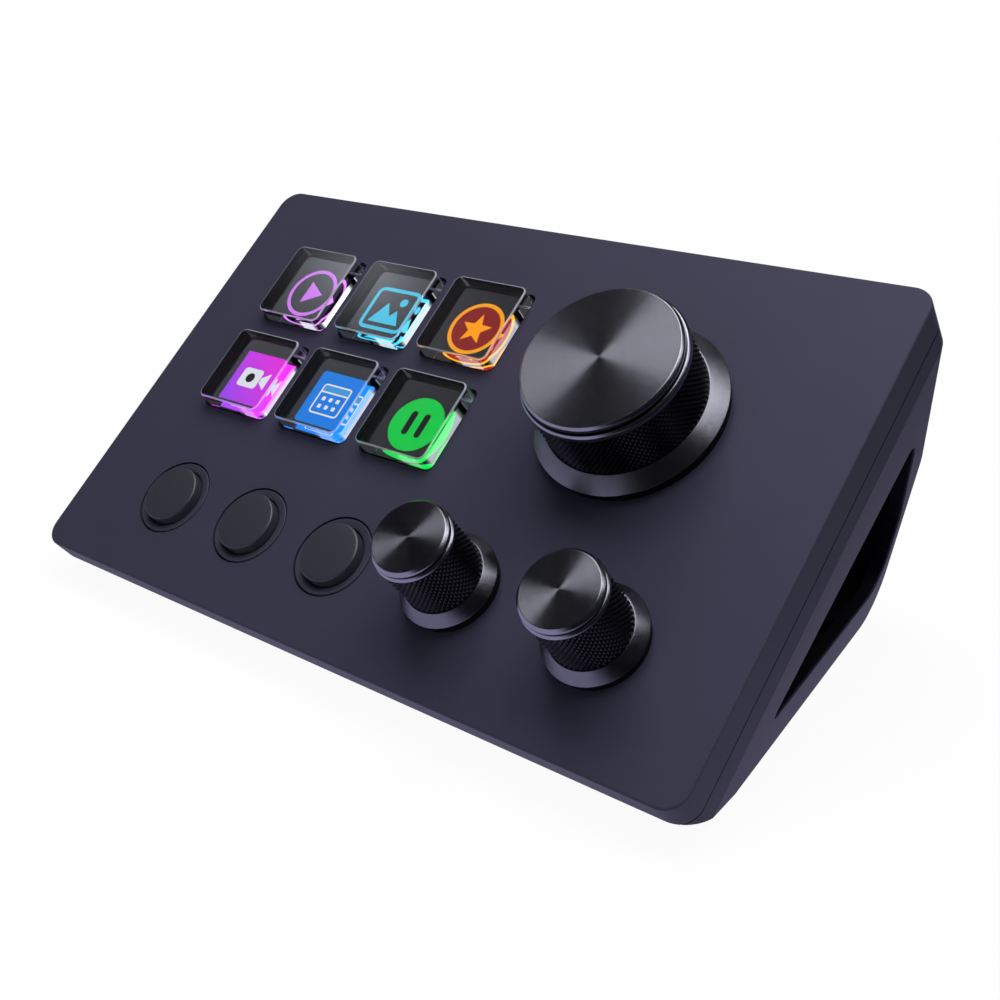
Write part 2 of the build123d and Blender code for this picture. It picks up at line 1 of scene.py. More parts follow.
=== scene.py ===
import json
import math

import bmesh
import bpy
from mathutils import Matrix, Vector


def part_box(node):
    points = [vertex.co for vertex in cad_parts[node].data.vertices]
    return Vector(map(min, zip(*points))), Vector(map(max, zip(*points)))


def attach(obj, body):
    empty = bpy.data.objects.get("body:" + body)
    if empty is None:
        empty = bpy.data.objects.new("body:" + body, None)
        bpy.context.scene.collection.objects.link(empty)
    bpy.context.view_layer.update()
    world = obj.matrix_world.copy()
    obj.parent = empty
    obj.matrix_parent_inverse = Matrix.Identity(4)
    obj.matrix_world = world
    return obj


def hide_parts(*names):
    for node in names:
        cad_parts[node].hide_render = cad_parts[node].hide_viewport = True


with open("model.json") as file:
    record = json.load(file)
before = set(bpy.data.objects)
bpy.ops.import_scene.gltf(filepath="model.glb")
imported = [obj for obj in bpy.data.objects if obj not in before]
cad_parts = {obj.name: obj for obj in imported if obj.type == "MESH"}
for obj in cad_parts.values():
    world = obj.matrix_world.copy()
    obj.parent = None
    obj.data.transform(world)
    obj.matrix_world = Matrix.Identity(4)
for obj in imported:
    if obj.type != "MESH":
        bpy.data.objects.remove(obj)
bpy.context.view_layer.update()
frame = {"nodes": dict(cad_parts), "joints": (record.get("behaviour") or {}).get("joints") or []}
mm = 0.001
print("frame loaded:", len(frame["nodes"]), "nodes")


# Camera first, in metres and degrees

cameraSettings = {
    "place": (0.1305, -0.1520, 0.09975),
    "turn": (67.74, 0.06, 39.23),
    "lens": 48.35,
    "sensor": 36.0,
    "nearest": 0.005,
    "furthest": 50,
}

cameraData = bpy.data.cameras.new("camera")
cameraData.lens = cameraSettings["lens"]
cameraData.sensor_width = cameraSettings["sensor"]
cameraData.clip_start = cameraSettings["nearest"]
cameraData.clip_end = cameraSettings["furthest"]
camera = bpy.data.objects.new("camera", cameraData)
camera.location = cameraSettings["place"]
camera.rotation_euler = [math.radians(angle) for angle in cameraSettings["turn"]]
bpy.context.scene.collection.objects.link(camera)
bpy.context.scene.camera = camera


# The panel's own frame: x to the right, y up the slope, z out of the face

joints = {joint["name"]: joint for joint in frame["joints"]}
panelNormal = Vector(joints["big_knob_turn"]["axis"]).normalized()
panelTurn = Matrix.Rotation(math.atan2(-panelNormal.y, panelNormal.z), 4, "X")


def boxIn(turn, node):
    back = turn.inverted()
    points = [back @ vertex.co for vertex in frame["nodes"][node].data.vertices]
    low = Vector([min(point[axis] for point in points) for axis in range(3)])
    high = Vector([max(point[axis] for point in points) for axis in range(3)])
    return low, high


shellLow, shellHigh = boxIn(panelTurn, "top_shell")
shellTop = Vector(((shellLow.x + shellHigh.x) / 2, (shellLow.y + shellHigh.y) / 2, shellHigh.z))
panelFrame = Matrix.Translation(panelTurn @ shellTop) @ panelTurn


def panelBox(node):
    return boxIn(panelFrame, node)


def onPanel(middle, level=0.0):
    return panelFrame @ Matrix.Translation((middle[0], middle[1], level))


def middleOf(node):
    low, high = panelBox(node)
    return (low.x + high.x) / 2, (low.y + high.y) / 2


# Node trees, with values written as Python expressions


class Wire:
    def __init__(self, graph, socket):
        self.graph = graph
        self.socket = socket

    def __add__(self, other):
        return self.graph.math("ADD", self, other)

    def __radd__(self, other):
        return self.graph.math("ADD", other, self)

    def __sub__(self, other):
        return self.graph.math("SUBTRACT", self, other)

    def __rsub__(self, other):
        return self.graph.math("SUBTRACT", other, self)

    def __mul__(self, other):
        return self.graph.math("MULTIPLY", self, other)

    def __rmul__(self, other):
        return self.graph.math("MULTIPLY", other, self)

    def __truediv__(self, other):
        return self.graph.math("DIVIDE", self, other)

    def pick(self, output):
        # Another output of the same node
        return Wire(self.graph, self.socket.node.outputs[output])


class Graph:
    def __init__(self, tree):
        self.tree = tree

    def node(self, kind, settings=None, inputs=None, output=0):
        made = self.tree.nodes.new(kind)
        for name, value in (settings or {}).items():
            setattr(made, name, value)
        for name, value in (inputs or {}).items():
            if isinstance(value, Wire):
                self.tree.links.new(value.socket, made.inputs[name])
            else:
                made.inputs[name].default_value = value
        return Wire(self, made.outputs[output]) if len(made.outputs) else None

    def math(self, operation, *values):
        return self.node("ShaderNodeMath", {"operation": operation}, dict(enumerate(values)))

    def vector(self, operation, *values, output=0):
        settings = {"operation": operation}
        return self.node("ShaderNodeVectorMath", settings, dict(enumerate(values)), output)

    def scaled(self, vector, amount):
        inputs = {"Vector": vector, "Scale": amount}
        return self.node("ShaderNodeVectorMath", {"operation": "SCALE"}, inputs)

    def clamp(self, value):
        return self.node("ShaderNodeClamp", {}, {"Value": value})

    def mix(self, amount, first, second):
        # The sockets of this node share their names, and these are the ones for colours
        inputs = {0: amount, 6: first, 7: second}
        return self.node("ShaderNodeMix", {"data_type": "RGBA"}, inputs, 2)


# Materials. Colours are written as they look on screen, from 0 to 255


def ink(red, green, blue):
    values = [value / 255 for value in (red, green, blue)]
    return (*[v / 12.92 if v <= 0.04045 else ((v + 0.055) / 1.055) ** 2.4 for v in values], 1.0)


def toned(colour, share):
    return tuple(channel * share for channel in colour[:3]) + (1.0,)


white = (1.0, 1.0, 1.0, 1.0)


def newPaint(name):
    material = bpy.data.materials.new(name)
    material.use_nodes = True
    material.node_tree.nodes.clear()
    return material, Graph(material.node_tree)


def coverWith(graph, sockets, varying):
    shader = graph.node("ShaderNodeBsdfPrincipled", {}, {**sockets, **varying})
    graph.node("ShaderNodeOutputMaterial", {}, {"Surface": shader})


def objectPlace(graph):
    return graph.node("ShaderNodeTexCoord", output="Object")


grainSettings = {"detail": 2.0, "slowDetail": 3.0}


def grain(graph, size, detail=grainSettings["detail"]):
    inputs = {"Vector": objectPlace(graph), "Scale": 1 / (size * mm), "Detail": detail}
    return graph.node("ShaderNodeTexNoise", {"noise_dimensions": "3D"}, inputs)


def spreadRound(graph, middle, noise, spread):
    # A value that wanders a little to both sides of its middle
    return graph.clamp(middle + (noise - 0.5) * spread)


# Grain and cloud are sizes in mm, speckle and drift how much each of them shows
plasticSettings = {
    "housing": {
        "grain": 0.16,
        "cloud": 9.0,
        "speckle": 0.5,
        "drift": 0.25,
        "rough": 0.56,
        "gloss": 0.26,
        "bump": 0.25,
    },
    "inner": {
        "grain": 0.3,
        "cloud": 8.0,
        "speckle": 0.4,
        "drift": 0.3,
        "rough": 0.6,
        "gloss": 0.25,
        "bump": 0.3,
    },
    "button": {
        "grain": 0.08,
        "cloud": 6.0,
        "speckle": 0.3,
        "drift": 0.2,
        "rough": 0.36,
        "gloss": 0.5,
        "bump": 0.12,
    },
    "rubber": {
        "grain": 0.12,
        "cloud": 4.0,
        "speckle": 0.5,
        "drift": 0.4,
        "rough": 0.85,
        "gloss": 0.2,
        "bump": 0.5,
    },
}
mouldingSettings = {"shade": 0.3, "roughSpread": 0.12, "bumpDepth": 0.3}


def mouldedSurface(graph, colour, settings, shade):
    # The colour of moulded plastic, and its roughness and fine bump
    fine = grain(graph, settings["grain"])
    cloud = grain(graph, settings["cloud"], grainSettings["slowDetail"])
    blend = (fine - 0.5) * settings["speckle"] + (cloud - 0.5) * settings["drift"] + 0.5
    bump = {
        "Height": fine,
        "Strength": settings["bump"],
        "Distance": settings["grain"] * mouldingSettings["bumpDepth"] * mm,
    }
    surface = {
        "Roughness": spreadRound(graph, settings["rough"], fine, mouldingSettings["roughSpread"]),
        "Normal": graph.node("ShaderNodeBump", {}, bump),
    }
    tint = graph.mix(graph.clamp(blend), toned(colour, 1 - shade), toned(colour, 1 + shade))
    return tint, surface


def mouldedPlastic(name, colour, settings):
    material, graph = newPaint(name)
    tint, surface = mouldedSurface(graph, colour, settings, mouldingSettings["shade"])
    coverWith(graph, {"Specular IOR Level": settings["gloss"]}, {"Base Color": tint, **surface})
    return material


steelSettings = {"dim": 0.75, "wear": 0.4, "roughSpread": 0.2}


def roughMetal(name, dark, light, rough, wear):
    material, graph = newPaint(name)
    worn = grain(graph, wear, grainSettings["slowDetail"])
    tint = graph.mix(worn, dark, light)
    roughness = spreadRound(graph, rough, worn, steelSettings["roughSpread"])
    coverWith(graph, {"Metallic": 1.0}, {"Base Color": tint, "Roughness": roughness})
    return material


def plainMetal(name, colour, rough):
    dark = toned(colour, steelSettings["dim"])
    return roughMetal(name, dark, colour, rough, steelSettings["wear"])


# Meshes. Lengths are in mm until a vertex is made

meshSettings = {"flatStrip": 0.03, "cornerSteps": 10, "curveSteps": 4, "sharp": 30, "onAxis": 1e-9}


def softened(points):
    # Each point is (radius, level) with an optional rounding, which becomes a short curve
    line = []
    steps = meshSettings["curveSteps"]
    for index, point in enumerate(points):
        here = Vector(point[:2])
        if len(point) < 3 or index in (0, len(points) - 1):
            line.append(here)
            continue
        before = Vector(points[index - 1][:2]) - here
        after = Vector(points[index + 1][:2]) - here
        start = here + before.normalized() * point[2]
        end = here + after.normalized() * point[2]
        for step in range(steps + 1):
            t = step / steps
            line.append(start * (1 - t) ** 2 + here * 2 * t * (1 - t) + end * t**2)
    return line


def lathe(points, steps, closed=False):
    build = bmesh.new()
    rings = []
    for radius, level in softened(points):
        if radius < meshSettings["onAxis"]:
            rings.append([build.verts.new((0, 0, level * mm))])
            continue
        ring = []
        for step in range(steps):
            angle = 2 * math.pi * step / steps
            spot = (radius * math.cos(angle) * mm, radius * math.sin(angle) * mm, level * mm)
            ring.append(build.verts.new(spot))
        rings.append(ring)
    pairs = list(zip(rings, rings[1:])) + ([(rings[-1], rings[0])] if closed else [])
    for one, two in pairs:
        for step in range(steps):
            after = (step + 1) % steps
            sides = ((one, step), (one, after), (two, after), (two, step))
            corners = [ring[index % len(ring)] for ring, index in sides]
            build.faces.new(list(dict.fromkeys(corners)))
    bmesh.ops.recalc_face_normals(build, faces=build.faces)
    return build


def beside(point, angle, distance):
    return point[0] - math.sin(angle) * distance, point[1] + math.cos(angle) * distance


def squarePoints(width, height, corner, x=0.0, y=0.0, steps=6, strip=0.0):
    # A strip beside each rounded corner keeps the long sides flat in the light
    points = []
    for quarter, (sideX, sideY) in enumerate(((1, 1), (-1, 1), (-1, -1), (1, -1))):
        middleX = x + sideX * (width / 2 - corner)
        middleY = y + sideY * (height / 2 - corner)
        arc = []
        for step in range(steps + 1):
            angle = math.radians(90 * quarter + 90 * step / steps)
            arc.append((middleX + corner * math.cos(angle), middleY + corner * math.sin(angle)))
        if strip:
            before = beside(arc[0], math.radians(90 * quarter), -strip)
            after = beside(arc[-1], math.radians(90 * quarter + 90), strip)
            arc = [before, *arc, after]
        points += arc
    return points


def joinRings(build, rings):
    for one, two in zip(rings, rings[1:]):
        for step in range(len(one)):
            after = (step + 1) % len(one)
            build.faces.new((one[step], one[after], two[after], two[step]))


def squareStack(levels):
    # Each level is (half width, corner, level)
    build = bmesh.new()
    rings = []
    steps, strip = meshSettings["cornerSteps"], meshSettings["flatStrip"]
    for half, corner, level in levels:
        points = squarePoints(2 * half, 2 * half, corner, steps=steps, strip=strip)
        rings.append([build.verts.new((x * mm, y * mm, level * mm)) for x, y in points])
    joinRings(build, rings)
    build.faces.new(rings[0][::-1])
    build.faces.new(rings[-1])
    bmesh.ops.recalc_face_normals(build, faces=build.faces)
    return build


def addObject(name, data):
    made = bpy.data.objects.new(name, data)
    bpy.context.scene.collection.objects.link(made)
    return made


def finished(name, build, place, material, body, node=None):
    mesh = bpy.data.meshes.new(name)
    build.to_mesh(mesh)
    build.free()
    mesh.transform(place)
    mesh.materials.append(material)
    mesh.shade_smooth()
    mesh.set_sharp_from_angle(angle=math.radians(meshSettings["sharp"]))
    piece = addObject(name, mesh)
    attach(piece, body)
    if node:
        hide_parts(node)
    return piece


# Housing: the solids are right, so they only get their finishes

# How deep under the panel the walls begin to lean inwards, in mm, and their lean in degrees
standSettings = {"bandLevel": 8.75, "draft": 12.8}
standBand = standSettings["bandLevel"] * mm
standDraft = math.tan(math.radians(standSettings["draft"]))
standHalf = panelBox("stand_housing")[1].x
shellRear = panelBox("top_shell")[1].y

# Lengths in mm. A skin says how deep under a face the slate colour still reaches before the painted
# shade inside the stand begins, and the seam's line is quite dark up to 0.6 of its half width and
# gone at 1.6
housingSettings = {
    "colour": (58, 57, 73),
    "inside": (7, 7, 9),
    "sheen": (205, 200, 255),
    "shade": 0.28,
    "sideSkin": 0.25,
    "baseSkin": 0.3,
    "rearSkin": 0.3,
    "rimSkin": 0.5,
    "fade": 0.1,
    "corner": 5.0,
    "seam": 5.175,
    "seamHalf": 0.12,
    "seamEdge": 1.6,
}


def housingPaint():
    # The outside is matt slate; what lies behind the outer faces is painted near-black, a painted
    # shade for the dark inside of the stand
    settings = plasticSettings["housing"]
    material, graph = newPaint("slateHousing")
    outside, surface = mouldedSurface(
        graph, ink(*housingSettings["colour"]), settings, housingSettings["shade"]
    )
    # One near-black for the seam's dark line and for the painted shade inside the stand
    black = ink(*housingSettings["inside"])
    fade = housingSettings["fade"] * mm
    place = objectPlace(graph)
    # How far a point is inside the drafted side and rear walls and their rounded corner
    away = graph.vector("SUBTRACT", place, tuple(panelFrame.translation))
    depth = graph.vector("DOT_PRODUCT", away, tuple(-panelNormal), output="Value") - standBand
    across = graph.math("ABSOLUTE", graph.vector("DOT_PRODUCT", place, (1, 0, 0), output="Value"))
    slope = graph.math("MAXIMUM", depth, 0.0) * standDraft
    rear = graph.vector("DOT_PRODUCT", away, tuple(panelTurn @ Vector((0, 1, 0))), output="Value")
    corner = housingSettings["corner"] * mm
    sideways = graph.math("MAXIMUM", corner - (standHalf - slope - across), 0.0)
    rearwards = graph.math("MAXIMUM", corner - (shellRear - slope - rear), 0.0)
    outward = graph.math("SQRT", sideways * sideways + rearwards * rearwards)
    behind = graph.clamp((corner - housingSettings["sideSkin"] * mm - outward) / fade)
    low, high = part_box("stand_housing")
    parts = graph.node("ShaderNodeSeparateXYZ", {}, {"Vector": place})
    overBase = graph.clamp((parts.pick("Z") - low.z - housingSettings["baseSkin"] * mm) / fade)
    beforeRear = graph.clamp((high.y - housingSettings["rearSkin"] * mm - parts.pick("Y")) / fade)
    under = graph.clamp((depth + housingSettings["rimSkin"] * mm) / fade)
    # Painted shade: near-black on the faces inside the stand and its openings, where shade falls
    inside = behind * overBase * beforeRear * under
    # A dark line where the shell meets the stand
    fromSeam = graph.math("ABSOLUTE", depth + (standBand - housingSettings["seam"] * mm))
    line = housingSettings["seamEdge"] - fromSeam / (housingSettings["seamHalf"] * mm)
    lined = graph.mix(graph.clamp(line), outside, black)
    coverWith(
        graph,
        {"Specular IOR Level": settings["gloss"], "Specular Tint": ink(*housingSettings["sheen"])},
        {"Base Color": graph.mix(inside, lined, black), **surface},
    )
    return material


slate = housingPaint()
blackPlastic = mouldedPlastic("blackPlastic", ink(9, 9, 11), plasticSettings["inner"])
coverPlastic = mouldedPlastic("coverPlastic", ink(46, 45, 56), plasticSettings["housing"])
# The knob collars are near-black: painted shade for the gap under each skirt
collarShadeBlack = mouldedPlastic("collarShadeBlack", ink(6, 6, 7), plasticSettings["inner"])
bezelColour = ink(*housingSettings["colour"])
bezelPlastic = mouldedPlastic("bezelPlastic", bezelColour, plasticSettings["housing"])
rubber = mouldedPlastic("footRubber", ink(20, 20, 21), plasticSettings["rubber"])
boardGreen = mouldedPlastic("boardMask", ink(14, 62, 40), plasticSettings["button"])
steel = plainMetal("screwSteel", ink(150, 150, 156), 0.35)
plated = plainMetal("platedSteel", ink(130, 130, 136), 0.3)
buttonPlastic = mouldedPlastic("buttonPlastic", ink(52, 52, 62), plasticSettings["button"])

finishes = {
    "top_shell": slate,
    "stand_housing": slate,
    "base_cover": coverPlastic,
    "rubber_feet": rubber,
    "cover_screws": steel,
    "inner_tray": blackPlastic,
    "housing_screws": steel,
    "main_board": boardGreen,
    "controller_chip": blackPlastic,
    "usb_socket": steel,
    "screen_module": blackPlastic,
    "screen_carrier": blackPlastic,
    "carrier_screws": steel,
    "screen_flex": blackPlastic,
    "flex_connector": blackPlastic,
    "key_guide": blackPlastic,
    "key_membrane": blackPlastic,
    "button_switches": blackPlastic,
    "encoder_bodies": plated,
    "knob_collars": collarShadeBlack,
}
for side in ("big", "left", "right"):
    finishes[f"{side}_encoder_plunger"] = plated
    finishes[f"{side}_encoder_shaft"] = plated
for node, finish in finishes.items():
    mesh = frame["nodes"][node].data
    mesh.materials.clear()
    mesh.materials.append(finish)
print("housing finished")


# Clear keys: a clear block on a black foot with a flange under the panel

# Lengths in mm; the foot's level is from the panel's face
keySettings = {
    "foot": -0.4,
    "inset": 0.22,
    "edge": 0.26,
    "edgeSteps": 5,
    "corner": 1.3,
    "flange": 0.6,
    "flangeWidth": 0.7,
    "air": 0.05,
    # Where the painted highlight on the rounded edge stops below the flat top, as a share of the
    # edge
    "highlightStop": 0.01,
}
acrylicSettings = {
    "index": 1.49,
    "tint": (250, 251, 253),
    "haze": 1.5,
    "rough": 0.02,
    # The edge settings make a pale layer on the keys' rounded edges, a painted highlight
    "highlightGrain": 0.6,
    "edgeRough": 0.05,
    "paleHighlight": (225, 225, 240),
    "highlightRough": 0.4,
    "highlightShare": 0.3,
    "highlightSpread": 0.1,
}


def clearAcrylic():
    material, graph = newPaint("clearAcrylic")
    haze = grain(graph, acrylicSettings["haze"], grainSettings["slowDetail"])
    tint = graph.mix(haze, ink(*acrylicSettings["tint"]), white)
    coverWith(
        graph,
        {"Transmission Weight": 1.0, "IOR": acrylicSettings["index"]},
        {"Base Color": tint, "Roughness": haze * acrylicSettings["rough"]},
    )
    return material


def paintedEdgeHighlight():
    # A pale diffuse layer mixed into the keys' rounded top edges paints their highlight as a pale
    # outline
    material, graph = newPaint("paintedEdgeHighlight")
    haze = grain(graph, acrylicSettings["highlightGrain"])
    clearSockets = {
        "Base Color": white,
        "Transmission Weight": 1.0,
        "IOR": acrylicSettings["index"],
        "Roughness": acrylicSettings["edgeRough"],
    }
    highlightSockets = {
        "Base Color": ink(*acrylicSettings["paleHighlight"]),
        "Roughness": acrylicSettings["highlightRough"],
    }
    clear = graph.node("ShaderNodeBsdfPrincipled", {}, clearSockets)
    paleHighlight = graph.node("ShaderNodeBsdfPrincipled", {}, highlightSockets)
    share = haze * acrylicSettings["highlightSpread"] + acrylicSettings["highlightShare"]
    shader = graph.node("ShaderNodeMixShader", {}, {0: share, 1: clear, 2: paleHighlight})
    graph.node("ShaderNodeOutputMaterial", {}, {"Surface": shader})
    return material


acrylic = clearAcrylic()
# The pale layer on the keys' rounded edges is a painted highlight
edgeHighlight = paintedEdgeHighlight()
footPlastic = mouldedPlastic("keyFootPlastic", ink(7, 7, 9), plasticSettings["inner"])


def makeKey(number):
    node = f"key_cap_{number}"
    body = f"key_{number}"
    low, high = panelBox(node)
    top, bottom = high.z / mm, low.z / mm
    foot, corner, edge = keySettings["foot"], keySettings["corner"], keySettings["edge"]
    base = (high.x - low.x) / 2 / mm - keySettings["flangeWidth"]
    upper = base - keySettings["inset"]
    strip = meshSettings["flatStrip"]
    levels = [
        (upper, corner, foot),
        (upper, corner, top - edge - strip),
        (upper, corner, top - edge),
    ]
    for step in range(1, keySettings["edgeSteps"] + 1):
        angle = math.pi / 2 * step / keySettings["edgeSteps"]
        inward = edge * (1 - math.cos(angle))
        levels.append((upper - inward, corner - inward, top - edge * (1 - math.sin(angle))))
    levels.append((upper - edge - strip, corner - edge - strip, top))
    place = onPanel(middleOf(node))
    build = squareStack(levels)
    glass = finished(f"keyGlass{number}", build, place, acrylic, body, node)
    # Painted highlight on the rounded edge only, not on the flat top
    glass.data.materials.append(edgeHighlight)
    back = place.inverted()
    for face in glass.data.polygons:
        level = (back @ face.center).z / mm
        if top - edge < level < top - edge * keySettings["highlightStop"]:
            face.material_index = 1
    flange = base + keySettings["flangeWidth"]
    flangeTop = bottom + keySettings["flange"]
    levels = [
        (flange, corner, bottom),
        (flange, corner, flangeTop),
        (base, corner, flangeTop),
        (base, corner, foot - keySettings["air"]),
    ]
    build = squareStack(levels)
    finished(f"keyFoot{number}", build, place, footPlastic, body, node)


for number in range(1, 7):
    makeKey(number)
print("keys made")


# Pictures at the keys' feet: plain signs of our own, each in its key's colours

# Lengths in mm; body is how solid a film is, from 0 to 1
pictureSettings = {
    "lift": 0.02,
    "step": 0.02,
    "offset": (1.05, -1.07),
    "body": 0.32,
    "circleSteps": 72,
    "dotSteps": 32,
}
litSettings = {"film": (6, 6, 7), "rough": 0.35, "dots": 0.1, "dotsDetail": 1.0, "dim": 0.94}


def coverLit(graph, glow, body):
    # A lit film: its glow is as bright as its colour, and a thin body lets light from below through
    sockets = {
        "Base Color": ink(*litSettings["film"]),
        "Roughness": litSettings["rough"],
        "Emission Strength": 1 / body,
        "Alpha": body,
    }
    coverWith(graph, sockets, {"Emission Color": glow})


def litPaint(name, colour, body=1.0):
    material, graph = newPaint(name)
    dots = grain(graph, litSettings["dots"], litSettings["dotsDetail"])
    coverLit(graph, graph.mix(dots, toned(colour, litSettings["dim"]), colour), body)
    return material


def litBlend(name, first, second, start, end, body):
    # A lit colour that changes from one corner to the other
    material, graph = newPaint(name)
    away = graph.vector("SUBTRACT", objectPlace(graph), tuple(start))
    span = end - start
    along = graph.vector("DOT_PRODUCT", away, tuple(span / span.length_squared), output="Value")
    coverLit(graph, graph.mix(graph.clamp(along), first, second), body)
    return material


class Picture:
    def __init__(self, key, name):
        middle = middleOf(f"key_cap_{key}")
        right, up = pictureSettings["offset"]
        self.middle = (middle[0] + right * mm, middle[1] + up * mm)
        self.body = f"key_{key}"
        self.name = name
        self.layer = 0

    def lay(self, build, paint):
        lift = pictureSettings["lift"] + self.layer * pictureSettings["step"]
        self.layer += 1
        place = onPanel(self.middle, (keySettings["foot"] + lift) * mm)
        finished(f"{self.name}{self.layer}", build, place, paint, self.body)

    def shape(self, points, paint):
        build = bmesh.new()
        face = build.faces.new([build.verts.new((x * mm, y * mm, 0)) for x, y in points])
        face.normal_update()
        if face.normal.z < 0:
            face.normal_flip()
        self.lay(build, paint)

    def band(self, outer, inner, paint):
        build = bmesh.new()
        rings = [[build.verts.new((x * mm, y * mm, 0)) for x, y in line] for line in (outer, inner)]
        joinRings(build, rings)
        self.lay(build, paint)


def circlePoints(radius, x=0.0, y=0.0, steps=pictureSettings["circleSteps"]):
    angles = [2 * math.pi * step / steps for step in range(steps)]
    return [(x + radius * math.cos(a), y + radius * math.sin(a)) for a in angles]


def starPoints(radius, inner, y, tips=5):
    points = []
    for step in range(2 * tips):
        reach = radius if step % 2 == 0 else inner
        angle = math.pi / 2 + math.pi * step / tips
        points.append((reach * math.cos(angle), y + reach * math.sin(angle)))
    return points


def drawPictures():
    # Sizes in mm from the middle of each sign
    thin, few = pictureSettings["body"], pictureSettings["dotSteps"]
    lilac = litPaint("lilacLight", ink(205, 120, 235), thin)
    cyan = litPaint("cyanLight", ink(60, 190, 225), thin)
    orange = litPaint("orangeLight", ink(245, 160, 0), thin)
    crimson = litPaint("crimsonLight", ink(130, 22, 18), thin)
    blue = litPaint("blueLight", ink(10, 120, 220), thin)
    sky = litPaint("skyLight", ink(70, 155, 220))
    pale = litPaint("whiteLight", ink(225, 230, 240))
    green = litPaint("greenLight", ink(0, 195, 65), thin)
    dark = litPaint("screenDark", ink(26, 24, 28))

    play = Picture(1, "playSign")
    play.band(circlePoints(5.0), circlePoints(4.3), lilac)
    play.shape([(-1.4, -2.3), (2.5, 0.0), (-1.4, 2.3)], lilac)

    scene = Picture(2, "pictureSign")
    scene.band(squarePoints(9.6, 8.6, 1.4), squarePoints(8.2, 7.2, 0.7), cyan)
    scene.shape([(-3.3, -2.8), (3.3, -2.8), (1.6, 0.1), (0.6, -1.2), (-1.0, 1.3)], cyan)
    scene.shape(circlePoints(0.8, 2.0, 1.8, few), cyan)

    star = Picture(3, "starSign")
    star.shape(circlePoints(4.3), crimson)
    star.band(circlePoints(5.0), circlePoints(4.3), orange)
    star.shape(starPoints(3.0, 1.3, -0.15), orange)

    film = Picture(4, "cameraSign")
    corner = onPanel(film.middle, keySettings["foot"] * mm)
    start = corner @ Vector((4 * mm, 3 * mm, 0))
    end = corner @ Vector((-4 * mm, -4 * mm, 0))
    violet = litBlend("violetLight", ink(220, 30, 215), ink(150, 60, 230), start, end, thin)
    film.shape(squarePoints(10, 10, 0.2), violet)
    film.shape(squarePoints(4.6, 3.8, 0.7, -0.9), pale)
    film.shape([(1.6, -0.5), (3.3, -1.7), (3.3, 1.7), (1.6, 0.5)], pale)
    film.shape(circlePoints(0.95, -0.9, 0, few), dark)

    sheet = Picture(5, "calendarSign")
    sheet.shape(squarePoints(10, 10, 0.6), blue)
    sheet.shape(squarePoints(5.8, 1.3, 0.3, 0, 1.9), sky)
    sheet.band(squarePoints(6.4, 5.8, 0.7, 0, -0.1), squarePoints(5.8, 5.2, 0.4, 0, -0.1), pale)
    sheet.shape(squarePoints(5.9, 0.3, 0.1, 0, 1.2), pale)
    for x in (-1.6, 0.0, 1.6):
        for y in (0.0, -1.5):
            sheet.shape(squarePoints(0.75, 0.75, 0.12, x, y), pale)

    pause = Picture(6, "pauseSign")
    pause.shape(circlePoints(4.9), green)
    pause.shape(squarePoints(1.2, 4.4, 0.55, -1.3, 0), dark)
    pause.shape(squarePoints(1.2, 4.4, 0.55, 1.3, 0), dark)


drawPictures()
print("pictures drawn")


# Round buttons and their flush rings

buttonSettings = {
    "steps": 128,
    "domeSteps": 9,
    "dome": 0.22,
    "round": 0.32,
    "flange": 0.55,
    "flangeHeight": 1.0,
    "flangeAir": 0.3,
    "stem": 1.5,
    "gap": 0.25,
    "bevel": 0.12,
    "fall": 0.02,
    "dish": 0.1,
    "dishRim": 0.2,
    "dishEdge": 0.1,
}


def makeButton(number):
    node = f"button_cap_{number}"
    body = f"button_{number}"
    low, high = panelBox(node)
    bezelLow, bezelHigh = panelBox("button_bezels")
    place = onPanel(middleOf(node))
    flange = buttonSettings["flange"]
    radius = (high.x - low.x) / 2 / mm - flange
    top, bottom = high.z / mm, low.z / mm
    dome = buttonSettings["dome"]
    flangeTop = bezelLow.z / mm - buttonSettings["flangeAir"]
    flangeBottom = flangeTop - buttonSettings["flangeHeight"]
    cap = [(0, top)]
    for step in range(1, buttonSettings["domeSteps"]):
        share = step / buttonSettings["domeSteps"]
        cap.append((radius * share, top - dome * share**2))
    cap += [
        (radius, top - dome, buttonSettings["round"]),
        (radius, flangeTop),
        (radius + flange, flangeTop),
        (radius + flange, flangeBottom),
        (buttonSettings["stem"], flangeBottom),
        (buttonSettings["stem"], bottom),
        (0, bottom),
    ]
    build = lathe(cap, buttonSettings["steps"])
    finished(f"buttonCap{number}", build, place, buttonPlastic, body, node)
    outer = (bezelHigh.y - bezelLow.y) / 2 / mm
    bore = radius + buttonSettings["gap"]
    bevel, dish = buttonSettings["bevel"], buttonSettings["dish"]
    ring = [
        (bore, bezelLow.z / mm),
        (outer, bezelLow.z / mm),
        (outer, -bevel),
        (outer - bevel, 0.0),
        (outer - 2 * bevel, -buttonSettings["fall"]),
        (bore + buttonSettings["dishRim"], -dish),
        (bore, -dish - buttonSettings["dishEdge"]),
    ]
    build = lathe(ring, buttonSettings["steps"], closed=True)
    finished(f"buttonBezel{number}", build, place, bezelPlastic, "housing", "button_bezels")


for number in range(1, 4):
    makeButton(number)
print("buttons made")


# Knobs: spun cap, bright band, knurled grip and flared skirt

# Lengths in mm, apart from shares: rounder is of soft, and the skirt's bore of the grip's radius
knobSettings = {
    "steps": 256,
    "soft": 0.06,
    "rounder": {"face": 0.8, "rim": 2, "foot": 1.5},
    "bevel": {"big": 0.35, "left": 0.45, "right": 0.45},
    "bandHeight": {"big": 1.0, "left": 0.55, "right": 0.55},
    "bandBevel": 0.3,
    "capGap": 0.35,
    "capWall": 0.9,
    "faceDepth": 0.3,
    "neckLap": 0.1,
    "drumInset": 0.3,
    "drumLap": 0.05,
    "skirtLip": 0.18,
    "skirtBore": 0.5,
}

